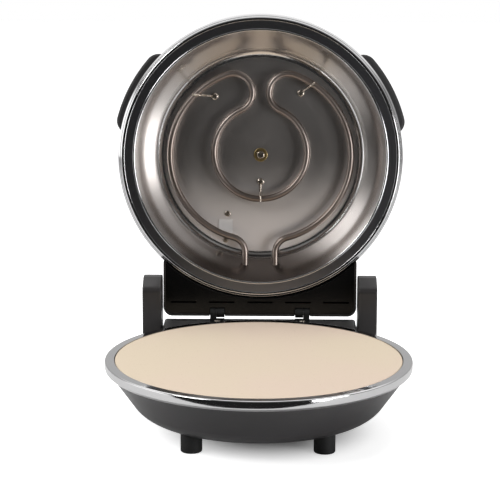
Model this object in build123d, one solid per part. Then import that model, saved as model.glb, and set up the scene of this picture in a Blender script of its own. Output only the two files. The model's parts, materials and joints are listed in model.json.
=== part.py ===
from build123d import *
import os
from math import atan2, cos, degrees, hypot, pi, radians, sin, sqrt, tan

# Electric pizza maker: a round stone in a shallow steel bowl on four feet, under a domed lid that
# swings up on two knuckles at the back. Millimetres, +Z up, +Y to the back, +X to the right as
# seen from the front. The origin is on the ground under the middle of the bowl.
# The lid is laid out closed over the base and then turned open about its hinge.

os.makedirs("parts", exist_ok=True)

# ---------------------------------------------------------------- driving dimensions
# Stone and rim
STONE_R = 152.3          # baking stone, a 12 inch disc
STONE_T = 10.0           # its thickness
STONE_EDGE = 1.2         # rounding of its top edge
STONE_CLEAR = 0.7        # gap all round the stone
RIM_Z = 78.0             # top of the base ring above the ground
RIM_FACE = 10.0          # flat width of the base ring
BAND_H = 11.3            # height of the ring's side band
BAND_TUCK = 3.4          # how far the band curls in at its lower edge
BAND_STRAIGHT = 8.4      # upright part of the band
BAND_CURL = 2.2          # radius of the curl
RING_EDGE = 1.6          # rounding of the ring's outer edge
LID_GAP = 0.8            # air between the two rings when the lid is shut
TRIM_T = 1.0             # sheet of the two rings
SHELL_T = 1.0            # sheet of bowl and dome
LINER_T = 0.8            # sheet of pan and reflector
LINER_BEND = 1.0         # tight bends of the liners
TIGHTEST = 0.1           # smallest inner radius of a bend

# Bowl and dome, the same pressing turned over
SHELL_INSET = 5.2        # shell wall inside the ring's outer edge
SHELL_SLOPE = 35.2       # lean of the wall, degrees from upright
SHELL_DEPTH = 59.5       # rim to flat bottom
SHELL_KNEE = 34.0        # radius where wall turns into bottom
SHELL_BEND = 6.0         # radius under the band

# Pan under the stone
LEDGE_W = 12.0           # ledge that carries the stone
PAN_DEPTH = 34.0         # rim to the pan's floor
PAN_TAPER = 19.0         # run of its sloping wall
PAN_ROUND = 3.0          # bend from ledge to wall
PAN_KNEE = 8.0           # bend from wall to floor
POST_R = 6.0             # threaded posts that carry the two liners
POST_BORE = 8.0
POST_SCREW_R = 2.0
POST_HEAD_R = 4.5
POST_HEAD_H = 2.6

# Lid liner
FLANGE_W = 16.5          # flat flange, from the ring's outer edge inwards
LIP_W = 2.6              # width of the rolled lip inside the flange
LIP_RISE = 0.6           # how far the lip stands proud of the flange
REFLECTOR_ROOM = 11.5    # reflector's floor to the shell's flat bottom, for the thermal cut-out
REFLECTOR_SLOPE = 27.0   # lean of its wall, degrees from upright
REFLECTOR_KNEE = 12.0    # radius where wall turns into floor
BEVEL_W = 4.5            # bevel on the lid's ring
BEVEL_H = 4.2
BEAD_W = 3.0             # flat inside the bevel
BEAD_ROUND = 0.7         # rounding of its inner edge
BEVEL_ROUND = 1.5
BEVEL_BAND = 3.0         # upright part of the band above the bevel
LIP_ROUND = 0.6
WASHER_R = 8.0           # washer in the middle of the reflector
WASHER_T = 1.5
WASHER_ROUND = 0.6
CUTOUT_MID = (-40.6, 84.0)                      # thermal cut-out on the reflector
CUTOUT_SCREWS = [(-38.5, 69.3), (-40.7, 99.9)]
CUTOUT_PLATE = 16.5      # side of its square plate
CUTOUT_PLATE_T = 1.0
CUTOUT_STRAP = 12.0      # width of its strap
CUTOUT_STRAP_ROUND = 4.8
CUTOUT_R = 8.0
CUTOUT_H = 8.5

# Heating elements
TUBE_R = 3.75            # sheath radius
OUTER_R = 99.0           # outer bends of the upper element
OUTER_X = 6.0            # their centres, left and right of the middle
INNER_R = 54.0           # inner loop
INNER_Y = -3.5           # its centre
HAIRPIN_EASE = 0.5       # the two hairpins that join them are this much tighter than half the gap
LEG_X = 17.5             # legs, left and right of the middle
LEG_BEND_R = 18.0        # bend from leg to outer loop
UPPER_TUBE_DROP = 14.0   # upper tube's centre below the reflector's floor
LOWER_TUBE_RISE = 10.0   # lower tube's centre above the pan's floor
LEG_OUT = 9.0            # leg beyond the shell's wall
HOLE_CLEAR = 0.4         # sheath in its holes
FERRULE_R = 5.6          # ceramic ferrules where the legs pass the shell
FERRULE_L = 12.0
FERRULE_IN = 4.5         # their share inside the shell
CLIP_WIRE_R = 1.0        # wire clips that hold the tubes off the sheet
CLIP_BEND = 2.4
CLIP_GAP = 0.3
CLIP_HOOK = 3.0
CLIP_EYE_R = 3.1
CLIP_SCREW_L = 6.0
UPPER_CLIP_ANGLES = [90.0, 225.0, -57.0]        # where the inner loop and the outer bends are held
UPPER_CLIP_SHIFTS = [(0.0, -19.1), (22.40, 2.20), (-13.52, 11.13)]  # clips' screws from there
LOWER_CLIP_ANGLES = [30.0, 150.0, 270.0]
CLIP_REACH = 24.0        # lower clips' screws inside the loop

# Hinge
HINGE_BEHIND = 17.0      # hinge axis behind the rings
HINGE_RISE = 4.0         # hinge axis above the base ring
LID_OPEN = 95.2          # lid's opening angle, degrees
PIN_R = 2.5
PIN_RUN = 0.05           # running clearance of the pins
KNUCKLE_X = 49.05        # middle of each knuckle
KNUCKLE_W = 16.5
KNUCKLE_R = 5.5
KNUCKLE_GAP = 0.3        # between the two halves of a knuckle
LID_HALF_W = 9.3         # share of the knuckle that belongs to the lid
KNUCKLE_AIR = 0.7        # air round the knuckles in the lid's box
NOTCH_RISE = 0.8
LUG_AHEAD = 16.0         # foot of the fixed half, in front of the axis
LUG_SOLE = 3.0
LUG_CORNER = 2.0
LUG_SCREW_AHEAD = 11.0
LUG_WEB = 5.0            # web of the lid's half
LUG_WEB_H = 24.0
LUG_SCREW_STEP = 7.2

# Box on the lid
LID_BOX_X = 111.3        # half width
LID_BOX_BEHIND = 20.7    # its back behind the rings
LID_BOX_OVER = 51.0      # its reach over the dome, in front of the rings' back
LID_BOX_LOW = 2.0        # its lower edge above the base ring
LID_BOX_HIGH = 50.0
BOX_WALL = 2.5
BOX_CORNER = 10.5
BOX_ROUND = 5.0
PLATE_SET = 0.3          # plate recessed in the box
FIT = 0.25               # loose fit between mouldings
SEAT_CLEAR = 0.1         # mouldings against curved sheet
RING_CLEAR = 0.5         # mouldings round the rings
BOSS_R = 4.0             # columns inside the boxes
BOSS_DEPTH = 9.0
PEG_H = 7.0              # pegs that hold the lid's plate in its columns
LID_BOSS_REAR = (66.0, 9.2)                     # from the middle, and from the box's back
LID_BOSS_FRONT = (103.5, 29.0)                  # from the middle, and from the box's front

# Box on the base, with its two arms
BASE_BOX_X = 111.0
BASE_BOX_BEHIND = 34.0   # its back behind the ring
BASE_BOX_UNDER = 45.0    # its reach under the ring, from the ring's back
BASE_BOX_DROP = 7.0      # top of the box below the base ring
SHOULDER_DROP = 16.0     # foot of the arms below the base ring
HOUSING_BOTTOM = 16.0    # underside of the box above the ground
ARM_GAP = 1.3            # air between the arms and the lid's box
ARM_W = 21.8
ARM_BESIDE = 3.0         # front of the arms before the ring's back
ARM_TOP = 46.5           # above the base ring
ARM_BROW = 36.5          # where the arm's front face turns back
ARM_CREST = 21.0         # run of the sloping top
ARM_ROUND = 8.0
ARM_EDGE = 1.5
ARM_SOLID = 11.0         # solid ends of the arm, for its screws
ARM_SCREW_IN = 6.5       # arm's screws from its front and back
ARM_SCREW_DEPTH = 10.0
BASE_BOX_ROUND = 3.0
BASE_BOSS_REAR = (66.0, 11.0)                   # from the middle, and from the box's back
BASE_BOSS_FRONT = (103.5, 23.0)                 # from the middle, and from the box's front

# Vent slots, in the lid's plate and in the top of the base box
SLOT_COUNT = 5
SLOT_PITCH = 44.0
SLOT_L = 30.0
SLOT_W = 2.0
LID_SLOT_BACK = 16.1     # slots in front of the lid box's back
BASE_SLOT_BACK = 9.0     # slots in front of the base box's back edge
BASE_SLOT_W = 2.5

# Feet
FOOT_R = 11.2
FOOT_ROUND = 1.5
FOOT_SINK = 6.0          # recess for the screw's head
FOOT_SINK_R = 4.5
FRONT_FOOT_X = 68.3
FRONT_FOOT_Y = -80.0
REAR_FOOT_X = 98.0
REAR_FOOT_IN = 21.0      # rear feet in front of the box's back
FOOT_SEAT = 0.02         # front feet against the bowl
FOOT_COLLAR = 4.0        # front feet's blank above the bowl's bottom, before it is cut to the bowl

# Grips on the lid
GRIP_PROUD = 7.6         # how far they stand out beyond the ring
GRIP_FROM = -9.5         # first and last angle, degrees from +X
GRIP_TO = -46.5
GRIP_H = 20.0
GRIP_CORNER = 15.0
GRIP_EDGE = 3.0
GRIP_GAP = 0.7           # air between grip and ring
GRIP_REACH = 32.8        # blank's reach inside the shell's wall, before it is cut to the dome
GRIP_SCREW_STEP = 10.0   # screws each side of the grip's middle, degrees
GRIP_SCREW_DEPTH = 22.0
GRIP_SCREW_L = 12.0

# Thermostat and lamps on the lid's box
KNOB_R = 15.5
KNOB_H = 17.0
KNOB_BACK = 17.7         # in front of the box's back
KNOB_LIFT = 0.8
SHAFT_R = 3.0
SHAFT_REACH = 12.0       # shaft inside the knob
SKIRT_H = 5.0
SKIRT_STEP = 2.0
KNOB_ROUND = 1.5
FLUTES = 12
FLUTE_R = 2.2
POINTER_W = 2.4
POINTER_RISE = 0.6
POINTER_IN = 1.0         # its tip inside the grip's edge
CASE_X = 12.0            # half sizes and height of the thermostat's case
CASE_Y = 13.0
CASE_H = 20.0
BUSHING_R = 5.0
LAMP_X = 42.0
LAMP_R = 4.5
LAMP_BODY = 12.0
LAMP_PROUD = 2.0
LAMP_ROUND = 1.8

# Mains inlet and wiring
INLET_X = -44.0
INLET_Z = 42.0
INLET_W = 27.0
INLET_H = 20.0
INLET_DEEP = 22.0
INLET_WALL = 1.5
INLET_FLANGE = 3.0
INLET_LIP = 2.0
INLET_KEY = 4.0          # cut upper corners of the socket
INLET_PITCH = 7.0
INLET_DROP = 2.0         # outer pins below the middle, earth pin above
INLET_EARTH = 2.0        # earth pin's extra length
INLET_PIN_W = 2.0
INLET_PIN_T = 4.0
INLET_PIN_L = 12.0
BLOCK_L = 40.0           # terminal blocks
BLOCK_W = 12.0
BLOCK_H = 12.0
BLOCK_ROUND = 1.2
BLOCK_WELLS = 3
BLOCK_WELL_R = 2.2
BASE_BLOCK_BACK = 34.0   # in front of the base box's back
LID_BLOCK_X = 86.0
LID_BLOCK_BACK = 24.2    # in front of the lid box's back
LEAD_R = 1.6
LEAD_BEND = 3.8
LEAD_STEP = 3.6          # between neighbouring leads

# Fasteners
SCREW_R = 1.6
HEAD_R = 3.4
HEAD_H = 2.0
HEAD_ROUND = 0.45        # rounding of a head, as a share of its height
CROSS_L = 1.1            # cross recess, as shares of the head's radius
CROSS_W = 0.28
SCREW_OUT = 3.0          # screw's end beyond the sheet it is tapped into
HEAD_SEAT = 0.06         # flat head against a curved wall
HOUSING_SCREW_ANGLE = 20.0
HOUSING_SCREW_DEPTH = 28.0
HOUSING_SCREW_L = 8.0
OVERRUN = 1.0            # how far a cutter runs past the face it opens

# ---------------------------------------------------------------- derived places
RIM_R = STONE_R + STONE_CLEAR + RIM_FACE
RING_IN = STONE_R + STONE_CLEAR
SHELL_R = RIM_R - SHELL_INSET
FLANGE_IN = RIM_R - FLANGE_W
HAIRPIN_R = (OUTER_R - INNER_R) / 2 - HAIRPIN_EASE
HINGE_Y = RIM_R + HINGE_BEHIND
HINGE_Z = RIM_Z + HINGE_RISE
LUG_FRONT = HINGE_Y - LUG_AHEAD
LUG_SCREW_Y = HINGE_Y - LUG_SCREW_AHEAD
LID_BOX_BACK = RIM_R + LID_BOX_BEHIND
LID_BOX_FRONT = RIM_R - LID_BOX_OVER
LID_SLOT_Y = LID_BOX_BACK - LID_SLOT_BACK
LID_BOSSES = [
    (LID_BOSS_REAR[0], LID_BOX_BACK - LID_BOSS_REAR[1]),
    (LID_BOSS_FRONT[0], LID_BOX_FRONT + LID_BOSS_FRONT[1]),
]
BASE_BOX_BACK = RIM_R + BASE_BOX_BEHIND
BASE_BOX_FRONT = RIM_R - BASE_BOX_UNDER
BASE_BOSSES = [
    (BASE_BOSS_REAR[0], BASE_BOX_BACK - BASE_BOSS_REAR[1]),
    (BASE_BOSS_FRONT[0], BASE_BOX_FRONT + BASE_BOSS_FRONT[1]),
]
ARM_IN = LID_BOX_X + ARM_GAP
ARM_OUT = ARM_IN + ARM_W
ARM_MID = ARM_IN + ARM_W / 2
ARM_FRONT = RIM_R - ARM_BESIDE
ARM_SCREWS = [(ARM_MID, ARM_FRONT + ARM_SCREW_IN), (ARM_MID, BASE_BOX_BACK - ARM_SCREW_IN)]
REAR_FOOT_Y = BASE_BOX_BACK - REAR_FOOT_IN
GRIP_R = RIM_R + GRIP_PROUD
GRIP_ROOT = SHELL_R - GRIP_REACH
KNOB_Y = LID_BOX_BACK - KNOB_BACK
BASE_BLOCK_Y = BASE_BOX_BACK - BASE_BLOCK_BACK
LID_BLOCK_Y = LID_BOX_BACK - LID_BLOCK_BACK
LID_RIM = RIM_Z + LID_GAP
REFLECTOR_DEPTH = SHELL_DEPTH - REFLECTOR_ROOM
PAN_FLOOR = RIM_Z - PAN_DEPTH
REFLECTOR_FLOOR = RIM_Z + REFLECTOR_DEPTH
LOWER_TUBE_Z = PAN_FLOOR + LOWER_TUBE_RISE
UPPER_TUBE_Z = REFLECTOR_FLOOR - UPPER_TUBE_DROP
BASE_BOX_TOP = RIM_Z - BASE_BOX_DROP
SHOULDER_Z = RIM_Z - SHOULDER_DROP
BOX_TOP_Z = RIM_Z + LID_BOX_HIGH
BOX_LOW_Z = RIM_Z + LID_BOX_LOW
STACK = TRIM_T + LINER_T  # ring, then liner flange, then the shell's edge
BASE_DEPTH = RIM_Z - LOWER_TUBE_Z
LID_DEPTH = UPPER_TUBE_Z - LID_RIM
LEG_HOLE_FROM = OUTER_R
BOWL_BOTTOM = RIM_Z - SHELL_DEPTH
DOME_TOP = LID_RIM + SHELL_DEPTH
HINGE_AXIS = Axis((0, HINGE_Y, HINGE_Z), (1, 0, 0))


# ---------------------------------------------------------------- shared shapes
def spun(face):
    """A profile drawn as (radius, height) turned all the way round."""
    return revolve(Plane.XZ * face, Axis.Z)


def pressed(points, radii, thickness):
    """Round pressed sheet from an open outline with rounded corners. The sheet's thickness lies to
    the left of the outline's run, or to its right if it is negative."""
    runs = [(Vector(*last) - Vector(*first)).normalized() for first, last in zip(points, points[1:])]
    befores = [runs[0]] + runs
    afters = runs + [runs[-1]]
    back = []
    for point, before, after in zip(points, befores, afters):
        step = thickness / (1 + before.dot(after))
        back.append((point[0] - step * (before.Y + after.Y), point[1] + step * (before.X + after.X)))
    back_radii = []
    for radius, before, after in zip(radii, runs, runs[1:]):
        turns_left = before.cross(after).Z > 0
        back_radii.append(max(radius + (-thickness if turns_left else thickness), TIGHTEST))
    front_edges = FilletPolyline(*points, radius=radii).edges()
    back_edges = FilletPolyline(*back, radius=back_radii).edges()
    ends = [Line(points[0], back[0]).edge(), Line(points[-1], back[-1]).edge()]
    return spun(make_face(front_edges + back_edges + ends))


def dish_points(rim_z, up, grow=0.0):
    """Outline of the bowl (up=-1) or the dome (up=1), grown outwards by a clearance."""
    lean = radians(SHELL_SLOPE)
    top = rim_z + up * STACK
    bend = BAND_H + grow * tan(lean / 2)
    knee = SHELL_R - (SHELL_DEPTH - BAND_H) * tan(lean) + grow * (1 / cos(lean) - tan(lean))
    deep = rim_z + up * (SHELL_DEPTH + grow)
    return [(SHELL_R + grow, top), (SHELL_R + grow, rim_z + up * bend), (knee, deep), (0, deep)]


def dish_radius(depth):
    """Radius of the shell's sloping wall at a depth below its rim."""
    return SHELL_R - (depth - BAND_H) * tan(radians(SHELL_SLOPE))


def dish(rim_z, up):
    """The pressed bowl or dome."""
    return pressed(dish_points(rim_z, up), [SHELL_BEND, SHELL_KNEE], up * SHELL_T)


def screw(length, head_r=HEAD_R, head_h=HEAD_H, shank_r=SCREW_R):
    """Pan-head screw with a cross recess; its head sits on the origin and its shank runs down."""
    head = Pos(0, 0, head_h / 2) * Cylinder(head_r, head_h)
    head = fillet(head.edges().group_by(Axis.Z)[-1], head_h * HEAD_ROUND)
    bar = Box(head_r * CROSS_L, head_r * CROSS_W, head_h)
    recess = Pos(0, 0, head_h) * (bar + Rot(0, 0, 90) * bar)
    return head - recess + Pos(0, 0, -length / 2) * Cylinder(shank_r, length)


def group(shapes):
    """Several separate solids under one name."""
    return Compound([shape.solid() for shape in shapes])


def on_dish(rim_z, up, angle, depth):
    """Frame for a screw head against the inside of the shell's sloping wall, its Z into the dish."""
    lean = radians(SHELL_SLOPE)
    turn = radians(angle)
    radius = dish_radius(depth) - (SHELL_T + HEAD_SEAT) / cos(lean)
    place = (radius * cos(turn), radius * sin(turn), rim_z + up * depth)
    out = Vector(cos(turn) * cos(lean), sin(turn) * cos(lean), up * sin(lean))
    return Plane(origin=place, z_dir=-out)


def drill(plane, radius, length):
    """A hole through the wall on both sides of a frame."""
    return plane.location * Cylinder(radius, 2 * length)


def mirrored(shape):
    return shape.mirror(Plane.YZ)


# ---------------------------------------------------------------- heating elements
def arc_about(centre, start, end, clockwise):
    """The arc round a centre from start to end, turning the given way."""
    first = atan2(start[1] - centre[1], start[0] - centre[0])
    last = atan2(end[1] - centre[1], end[0] - centre[0])
    if clockwise and last > first:
        last -= 2 * pi
    if not clockwise and last < first:
        last += 2 * pi
    radius = hypot(start[0] - centre[0], start[1] - centre[1])
    half = (first + last) / 2
    middle = (centre[0] + radius * cos(half), centre[1] + radius * sin(half))
    return ThreePointArc(start, middle, end)


def along(centre, other, distance):
    """The point at a distance from centre on the way to other."""
    span = hypot(other[0] - centre[0], other[1] - centre[1])
    step = distance / span
    return (centre[0] + step * (other[0] - centre[0]), centre[1] + step * (other[1] - centre[1]))


def circles_meet(first, first_r, second, second_r):
    """The front one of the two points where two circles cross."""
    span = hypot(second[0] - first[0], second[1] - first[1])
    reach = (first_r**2 - second_r**2 + span**2) / (2 * span)
    rise = sqrt(first_r**2 - reach**2)
    foot = along(first, second, reach)
    step_x = rise * (second[1] - first[1]) / span
    step_y = rise * (second[0] - first[0]) / span
    options = [(foot[0] + step_x, foot[1] - step_y), (foot[0] - step_x, foot[1] + step_y)]
    return min(options, key=lambda point: point[1])


def leg_and_bend(loop, loop_r, leg_end):
    """A straight leg from the back and the bend that leads it into a loop, with their last point."""
    bend_x = LEG_X + LEG_BEND_R
    bend_y = loop[1] + sqrt((loop_r + LEG_BEND_R) ** 2 - (bend_x - loop[0]) ** 2)
    start = (LEG_X, bend_y)
    end = along(loop, (bend_x, bend_y), loop_r)
    bend = arc_about((bend_x, bend_y), start, end, clockwise=False)
    return [Line((LEG_X, leg_end), start), bend], end


def upper_half(leg_end):
    """Right half of the upper element: leg, outer bend, hairpin and half the inner loop."""
    outer = (OUTER_X, 0)
    inner = (0, INNER_Y)
    run, joined = leg_and_bend(outer, OUTER_R, leg_end)
    hairpin = circles_meet(outer, OUTER_R - HAIRPIN_R, inner, INNER_R + HAIRPIN_R)
    outer_end = along(outer, hairpin, OUTER_R)
    inner_start = along(inner, hairpin, INNER_R)
    run.append(arc_about(outer, joined, outer_end, clockwise=True))
    run.append(arc_about(hairpin, outer_end, inner_start, clockwise=True))
    run.append(arc_about(inner, inner_start, (0, INNER_Y + INNER_R), clockwise=False))
    return run


def lower_half(leg_end):
    """Right half of the lower element: leg, bend and half of one round loop."""
    run, joined = leg_and_bend((0, 0), OUTER_R, leg_end)
    run.append(arc_about((0, 0), joined, (0, -OUTER_R), clockwise=True))
    return run


def tube(half, height, leg_end):
    """The sheathed tube along a half path and its mirror image, at one height."""
    edges = [edge.edge() for edge in half]
    edges += [edge.mirror(Plane.YZ) for edge in edges]
    path = Pos(0, 0, height) * Wire(edges)
    start = Plane(origin=(LEG_X, leg_end, height), z_dir=(0, -1, 0))
    return sweep(start * Circle(TUBE_R), path=path)


def leg_holes(height, from_y, to_y, radius):
    """Holes for the two legs, from front to back."""
    hole = Rot(-90, 0, 0) * Cylinder(radius, to_y - from_y)
    right = Pos(LEG_X, (from_y + to_y) / 2, height) * hole
    return right + mirrored(right)


def wall_y(depth):
    """Where a leg passes the outside of the shell at a depth below its rim."""
    return sqrt(dish_radius(depth) ** 2 - LEG_X**2)


def ferrules(height, depth):
    """Two ceramic ferrules on the legs, through the walls of shell and box."""
    sleeve = Rot(-90, 0, 0) * (Cylinder(FERRULE_R, FERRULE_L) - Cylinder(TUBE_R + SEAT_CLEAR, FERRULE_L))
    right = Pos(LEG_X, wall_y(depth) - FERRULE_IN + FERRULE_L / 2, height) * sleeve
    return [right, mirrored(right)]


# A wire clip holds the tube off the sheet: an eye under a screw, a run along the sheet and a hook
# round the tube. Each is given by its screw and the tube's nearest point, with the loop's centre.
def loop_point(centre, radius, angle):
    return (centre[0] + radius * cos(radians(angle)), centre[1] + radius * sin(radians(angle)))


def wire_clip(foot, held, centre, seat_z, tube_z):
    """One clip from the screw at foot to the tube at held."""
    away = 1 if tube_z > seat_z else -1
    span = Vector(held[0] - foot[0], held[1] - foot[1])
    to_tube = span.normalized()
    to_centre = Vector(held[0] - centre[0], held[1] - centre[1]).normalized()
    square = abs(to_tube.dot(to_centre))
    stand_off = (TUBE_R + CLIP_WIRE_R + CLIP_GAP) / square
    low = seat_z + away * CLIP_WIRE_R
    high = tube_z + away * (TUBE_R + CLIP_WIRE_R + CLIP_GAP)
    start = Vector(foot[0], foot[1], low) + to_tube * CLIP_EYE_R
    turn = Vector(held[0], held[1], low) - to_tube * stand_off
    top = Vector(turn.X, turn.Y, high)
    tip = Vector(held[0], held[1], high) + to_tube * CLIP_HOOK
    path = FilletPolyline(start, turn, top, tip, radius=CLIP_BEND)
    wire = sweep(Plane(origin=start, z_dir=to_tube) * Circle(CLIP_WIRE_R), path=path)
    eye = Pos(foot[0], foot[1], low) * Torus(CLIP_EYE_R, CLIP_WIRE_R)
    return eye + wire


def clip_screw(foot, seat_z, away):
    """The screw through a clip's eye, its head on the eye."""
    turn = Rot(0, 0, 0) if away > 0 else Rot(180, 0, 0)
    return Pos(foot[0], foot[1], seat_z + away * 2 * CLIP_WIRE_R) * turn * screw(CLIP_SCREW_L)


def upper_clip_places():
    """Screw, held point's loop centre, loop radius and angle of each upper clip."""
    centres = [(0, INNER_Y), (-OUTER_X, 0), (OUTER_X, 0)]
    radii = [INNER_R, OUTER_R, OUTER_R]
    held = [loop_point(*loop) for loop in zip(centres, radii, UPPER_CLIP_ANGLES)]
    feet = [(point[0] + shift[0], point[1] + shift[1]) for point, shift in zip(held, UPPER_CLIP_SHIFTS)]
    return list(zip(feet, centres, radii, UPPER_CLIP_ANGLES))


def lower_clip_places():
    feet = [loop_point((0, 0), OUTER_R - CLIP_REACH, angle) for angle in LOWER_CLIP_ANGLES]
    return [(foot, (0, 0), OUTER_R, angle) for foot, angle in zip(feet, LOWER_CLIP_ANGLES)]


def clips(places, seat_z, tube_z):
    return [wire_clip(foot, loop_point(centre, radius, angle), centre, seat_z, tube_z)
            for foot, centre, radius, angle in places]


def clip_screws(places, seat_z, away):
    return [clip_screw(place[0], seat_z, away) for place in places]


def screw_holes(places, height):
    """Threaded holes in a liner's floor under the clips' screws."""
    return [Pos(place[0][0], place[0][1], height) * Cylinder(SCREW_R, 6 * LINER_T) for place in places]


# ---------------------------------------------------------------- space that curved sheet takes up
def shell_space(rim_z, up, grow):
    """The bowl's or dome's whole volume, grown by a clearance."""
    points = dish_points(rim_z, up, grow)
    outline = FilletPolyline(*points, radius=[SHELL_BEND + grow, SHELL_KNEE + grow])
    back = Polyline(points[-1], (0, points[0][1]), points[0])
    return spun(make_face(outline + back))


def ring_space(low, high, grow):
    """A disc as wide as the rings, grown by a clearance."""
    return Pos(0, 0, (low + high) / 2) * Cylinder(RIM_R + grow, high - low)


def slab(x_from, x_to, y_from, y_to, z_from, z_to):
    centre = Pos((x_from + x_to) / 2, (y_from + y_to) / 2, (z_from + z_to) / 2)
    return centre * Box(abs(x_to - x_from), abs(y_to - y_from), abs(z_to - z_from))


def upright_edges(shape, front):
    """A block's upright edges at the front or at the back."""
    edges = shape.edges().filter_by(Axis.Z).sort_by(Axis.Y)
    return edges[:2] if front else edges[-2:]


def slots(middle_y, width, height, depth):
    """The row of vent slots as a cutter."""
    first = -(SLOT_COUNT - 1) / 2 * SLOT_PITCH
    cutter = extrude(SlotOverall(SLOT_L, width), depth / 2, both=True)
    return [Pos(first + i * SLOT_PITCH, middle_y, height) * cutter for i in range(SLOT_COUNT)]


# ---------------------------------------------------------------- base: stone, rim, shells
def baking_stone():
    stone = Pos(0, 0, RIM_Z - STONE_T / 2) * Cylinder(STONE_R, STONE_T)
    return fillet(stone.edges(), STONE_EDGE)


def base_trim_ring():
    points = [
        (RING_IN, RIM_Z),
        (RIM_R, RIM_Z),
        (RIM_R, RIM_Z - BAND_STRAIGHT),
        (RIM_R - BAND_TUCK, RIM_Z - BAND_H),
    ]
    return pressed(points, [RING_EDGE, BAND_CURL], -TRIM_T)


def base_bowl():
    bowl = dish(RIM_Z, -1)
    bowl -= leg_holes(LOWER_TUBE_Z, LEG_HOLE_FROM, BASE_BOX_BACK, FERRULE_R)
    for x in (-FRONT_FOOT_X, FRONT_FOOT_X):
        bowl -= Pos(x, FRONT_FOOT_Y, BOWL_BOTTOM) * Cylinder(SCREW_R, 4 * SHELL_T)
    for place in housing_screw_frames(RIM_Z, -1):
        bowl -= drill(place, SCREW_R, 3 * SHELL_T)
    return bowl


def base_pan():
    top = RIM_Z - TRIM_T
    ledge = RIM_Z - STONE_T
    points = [
        (SHELL_R, top),
        (RING_IN, top),
        (RING_IN, ledge),
        (RING_IN - LEDGE_W, ledge),
        (RING_IN - LEDGE_W - PAN_TAPER, PAN_FLOOR),
        (0, PAN_FLOOR),
    ]
    pan = pressed(points, [LINER_BEND, STONE_CLEAR, PAN_ROUND, PAN_KNEE], LINER_T)
    pan -= leg_holes(LOWER_TUBE_Z, LEG_HOLE_FROM, SHELL_R, TUBE_R + HOLE_CLEAR)
    pan -= Pos(0, 0, PAN_FLOOR) * Cylinder(POST_SCREW_R, 6 * LINER_T)
    for hole in screw_holes(lower_clip_places(), PAN_FLOOR):
        pan -= hole
    return pan


def post(low, high, open_end_up):
    """Threaded post welded to a shell; the liner's centre screw goes into its open end."""
    body = Pos(0, 0, (low + high) / 2) * Cylinder(POST_R, high - low)
    mouth = high if open_end_up else low
    return body - Pos(0, 0, mouth) * Cylinder(POST_SCREW_R, 2 * POST_BORE)


def foot(x, y, top):
    body = Pos(x, y, top / 2) * Cylinder(FOOT_R, top)
    body = fillet(body.edges().group_by(Axis.Z)[0], FOOT_ROUND)
    body -= Pos(x, y, FOOT_SINK / 2) * Cylinder(FOOT_SINK_R, FOOT_SINK)
    return body - Pos(x, y, top / 2) * Cylinder(SCREW_R, top)


def front_foot(side):
    body = foot(side * FRONT_FOOT_X, FRONT_FOOT_Y, BOWL_BOTTOM + FOOT_COLLAR)
    return body - shell_space(RIM_Z, -1, FOOT_SEAT)


def rear_foot(side):
    return foot(side * REAR_FOOT_X, REAR_FOOT_Y, HOUSING_BOTTOM)


def foot_screws():
    up = Rot(180, 0, 0)
    front = BOWL_BOTTOM + SHELL_T + SCREW_OUT - FOOT_SINK
    rear = HOUSING_BOTTOM + BOX_WALL + SCREW_OUT - FOOT_SINK
    places = [(FRONT_FOOT_X, FRONT_FOOT_Y, front), (REAR_FOOT_X, REAR_FOOT_Y, rear)]
    return [Pos(side * x, y, FOOT_SINK) * up * screw(length) for x, y, length in places for side in (-1, 1)]


# ---------------------------------------------------------------- base: box, arms and knuckles
def housing_screw_frames(rim_z, up):
    """Where the shell is screwed to the box behind it, from inside the shell."""
    return [on_dish(rim_z, up, 90 + side * HOUSING_SCREW_ANGLE, HOUSING_SCREW_DEPTH) for side in (-1, 1)]


def base_box(inset, low):
    """Centre block and wings of the base box, drawn in by a wall."""
    x = BASE_BOX_X - inset
    front = BASE_BOX_FRONT + inset
    back = BASE_BOX_BACK - inset
    centre = slab(-x, x, front, back, low, BASE_BOX_TOP - inset)
    wing_x = ARM_OUT - inset
    wings = slab(-wing_x, wing_x, ARM_FRONT + inset, back, low, SHOULDER_Z - inset)
    if inset == 0:
        centre = fillet(centre.edges().filter_by(Axis.Z), BASE_BOX_ROUND)
        centre = fillet(centre.edges().group_by(Axis.Z)[-1], BASE_BOX_ROUND)
        wings = fillet(wings.edges().filter_by(Axis.Z), ARM_EDGE)
    return centre + wings


def base_room(grow):
    """Space kept for the bowl and its ring."""
    low = RIM_Z - BAND_H - grow
    return shell_space(RIM_Z, -1, grow) + ring_space(low, RIM_Z + BAND_H, RING_CLEAR + grow)


def column(x, y, low, high):
    return Pos(x, y, (low + high) / 2) * Cylinder(BOSS_R, high - low)


def both_sides(places):
    return [(side * x, y) for x, y in places for side in (-1, 1)]


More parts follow.
